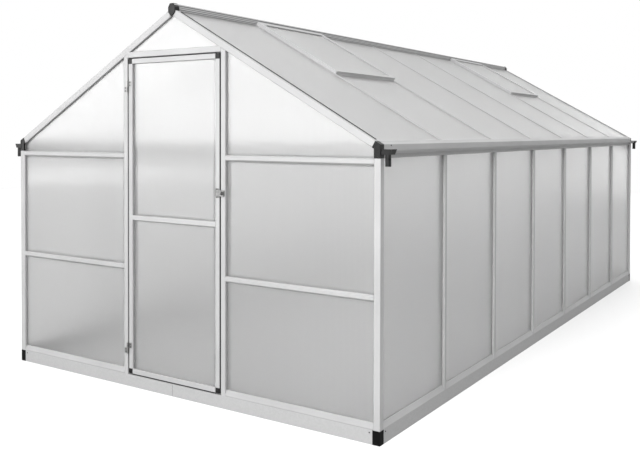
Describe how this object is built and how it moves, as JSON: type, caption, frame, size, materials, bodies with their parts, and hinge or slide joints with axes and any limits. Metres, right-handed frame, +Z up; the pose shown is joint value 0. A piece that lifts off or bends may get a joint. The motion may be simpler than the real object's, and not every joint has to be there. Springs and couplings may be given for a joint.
{
  "type": "gable greenhouse with hinged door",
  "caption": "Walk-in gable greenhouse of silver aluminium bars and translucent twin-wall panels on a low base frame, with a hinged door, roof vents and side gutters.",
  "frame": {"origin": "on the ground at the middle of the building's plan", "axes": "+Z up, the door gable faces -Y, the ridge runs along Y, +X to the right seen from the door"},
  "size_m": [2.464, 4.646, 1.959],
  "materials": {
    "frame_aluminium": "satin mill-finish extrusion",
    "base_steel": "galvanised sheet, satin",
    "black_plastic": "moulded, fine grain",
    "twin_wall": "translucent fluted sheet",
    "hardware": "zinc-plated"
  },
  "bodies": {
    "frame": {"base_corner_blocks": "black_plastic", "base_front": "base_steel", "base_left": "base_steel", "base_rear": "base_steel", "base_right": "base_steel", "corner_posts": "frame_aluminium", "door_head": "frame_aluminium", "door_jambs": "frame_aluminium", "eave_end_caps": "black_plastic", "front_gable_panels": "twin_wall", "front_rafters": "frame_aluminium", "front_rails": "frame_aluminium", "front_sills": "frame_aluminium", "front_wall_panels": "twin_wall", "gutter_outlets": "black_plastic", "gutter_spouts": "black_plastic", "jamb_hinge_leaves": "hardware", "jamb_keeper": "hardware", "left_eave_beam": "frame_aluminium", "left_roof_bars": "frame_aluminium", "left_roof_panels": "twin_wall", "left_sill": "frame_aluminium", "left_vent_panes": "twin_wall", "left_vent_sashes": "frame_aluminium", "left_vent_sills": "frame_aluminium", "left_wall_bars": "frame_aluminium", "left_wall_panels": "twin_wall", "rear_gable_panels": "twin_wall", "rear_posts": "frame_aluminium", "rear_rafters": "frame_aluminium", "rear_rails": "frame_aluminium", "rear_sill": "frame_aluminium", "rear_wall_panels": "twin_wall", "ridge_beam": "frame_aluminium", "ridge_end_caps": "black_plastic", "right_eave_beam": "frame_aluminium", "right_roof_bars": "frame_aluminium", "right_roof_panels": "twin_wall", "right_sill": "frame_aluminium", "right_vent_panes": "twin_wall", "right_vent_sashes": "frame_aluminium", "right_vent_sills": "frame_aluminium", "right_wall_bars": "frame_aluminium", "right_wall_panels": "twin_wall"},
    "door": {"door_stiles": "frame_aluminium", "door_rails": "frame_aluminium", "door_corner_blocks": "black_plastic", "door_panes": "twin_wall", "door_hinge_leaves": "hardware", "door_hasp": "hardware"}
  },
  "joints": [
    {"name": "door_hinge", "type": "hinge", "parent": "frame", "child": "door", "pos_m": [-0.309, -2.315, 0.882], "axis": [0, 0, -1], "range_deg": [0, 170]}
  ]
}
